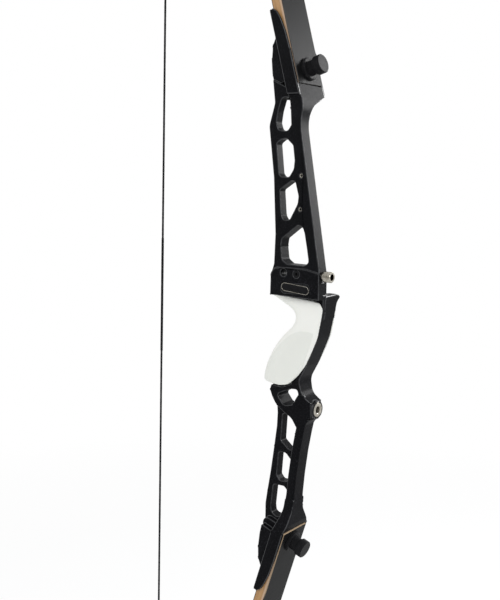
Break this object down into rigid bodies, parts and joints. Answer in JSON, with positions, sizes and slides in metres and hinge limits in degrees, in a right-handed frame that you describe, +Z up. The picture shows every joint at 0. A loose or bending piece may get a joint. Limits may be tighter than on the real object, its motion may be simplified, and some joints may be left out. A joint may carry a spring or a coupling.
{
  "type": "take-down recurve bow",
  "caption": "Right-handed take-down recurve bow: pierced black riser with a pale grip, two laminated limbs held by clamp bolts, and a string.",
  "frame": {"origin": "middle of the stabiliser bushing's mouth, on the front of the riser under the grip", "axes": "+X to the target, along the stabiliser bushing and out of its mouth; +Z up along the string, to the upper limb; +Y to the left of an archer who faces +X"},
  "size_m": [0.2553, 0.05, 1.646],
  "materials": {
    "paint": "satin",
    "shell": "matte",
    "oxide": "satin",
    "nickel": "brushed",
    "limb_glass": "satin",
    "limb_wood": "satin",
    "cord": "waxed"
  },
  "bodies": {
    "frame": {"riser": "paint", "grip": "shell", "grip_screws": "oxide", "stabiliser_bushing": "nickel", "front_sleeve": "nickel", "button_hole_plug": "oxide", "bolt_inserts": "nickel", "locating_pins": "nickel", "upper_butt_core": "limb_wood", "upper_butt_back_glass": "limb_glass", "upper_butt_belly_glass": "limb_glass", "lower_butt_core": "limb_wood", "lower_butt_back_glass": "limb_glass", "lower_butt_belly_glass": "limb_glass"},
    "upper_limb": {"upper_limb_core": "limb_wood", "upper_limb_back_glass": "limb_glass", "upper_limb_belly_glass": "limb_glass", "upper_tip_overlay": "oxide"},
    "upper_half_string": {"upper_string": "cord", "upper_end_serving": "cord", "upper_centre_serving": "cord"},
    "upper_clamp_washer": {"upper_washer": "oxide"},
    "upper_clamp_bolt": {"upper_limb_bolt": "oxide"},
    "lower_limb": {"lower_limb_core": "limb_wood", "lower_limb_back_glass": "limb_glass", "lower_limb_belly_glass": "limb_glass", "lower_tip_overlay": "oxide"},
    "lower_half_string": {"lower_string": "cord", "lower_end_serving": "cord", "lower_centre_serving": "cord"},
    "lower_clamp_washer": {"lower_washer": "oxide"},
    "lower_clamp_bolt": {"lower_limb_bolt": "oxide"}
  },
  "joints": [
    {"name": "upper_limb_flex", "type": "hinge", "parent": "frame", "child": "upper_limb", "pos_m": [-0.09317, 0, 0.5165], "axis": [0, -1, 0], "range_deg": [0, 21.6], "stiffness_Nm_per_rad": 120},
    {"name": "upper_string_swing", "type": "hinge", "parent": "upper_limb", "child": "upper_half_string", "pos_m": [-0.22528, 0, 0.90185], "axis": [0, 1, 0], "range_deg": [0, 46.2]},
    {"name": "upper_washer_lift", "type": "slide", "parent": "frame", "child": "upper_clamp_washer", "axis": [0.9583, 0, 0.2857], "range_m": [0, 0.01]},
    {"name": "upper_bolt_turn", "type": "hinge", "parent": "upper_clamp_washer", "child": "upper_clamp_bolt", "pos_m": [-0.02857, 0, 0.36183], "axis": [0.9583, 0, 0.2857], "range_deg": [0, 2885]},
    {"name": "lower_limb_flex", "type": "hinge", "parent": "frame", "child": "lower_limb", "pos_m": [-0.09317, 0, -0.3135], "axis": [0, 1, 0], "range_deg": [0, 21.7], "stiffness_Nm_per_rad": 60},
    {"name": "lower_string_swing", "type": "hinge", "parent": "lower_limb", "child": "lower_half_string", "pos_m": [-0.22528, 0, -0.69885], "axis": [0, -1, 0], "range_deg": [0, 46.2]},
    {"name": "lower_washer_lift", "type": "slide", "parent": "frame", "child": "lower_clamp_washer", "axis": [0.9583, 0, -0.2857], "range_m": [0, 0.01]},
    {"name": "lower_bolt_turn", "type": "hinge", "parent": "lower_clamp_washer", "child": "lower_clamp_bolt", "pos_m": [-0.02857, 0, -0.15883], "axis": [0.9583, 0, -0.2857], "range_deg": [0, 2885]}
  ],
  "couplings": [
    {"joint": "upper_bolt_turn", "follows": "upper_washer_lift", "rad_per_m": 5026.5},
    {"joint": "lower_bolt_turn", "follows": "lower_washer_lift", "rad_per_m": 5026.5},
    {"joint": "lower_limb_flex", "follows": "upper_limb_flex", "ratio": 1},
    {"joint": "upper_string_swing", "follows": "upper_limb_flex", "ratio": 2.1343},
    {"joint": "lower_string_swing", "follows": "upper_limb_flex", "ratio": 2.1343}
  ]
}
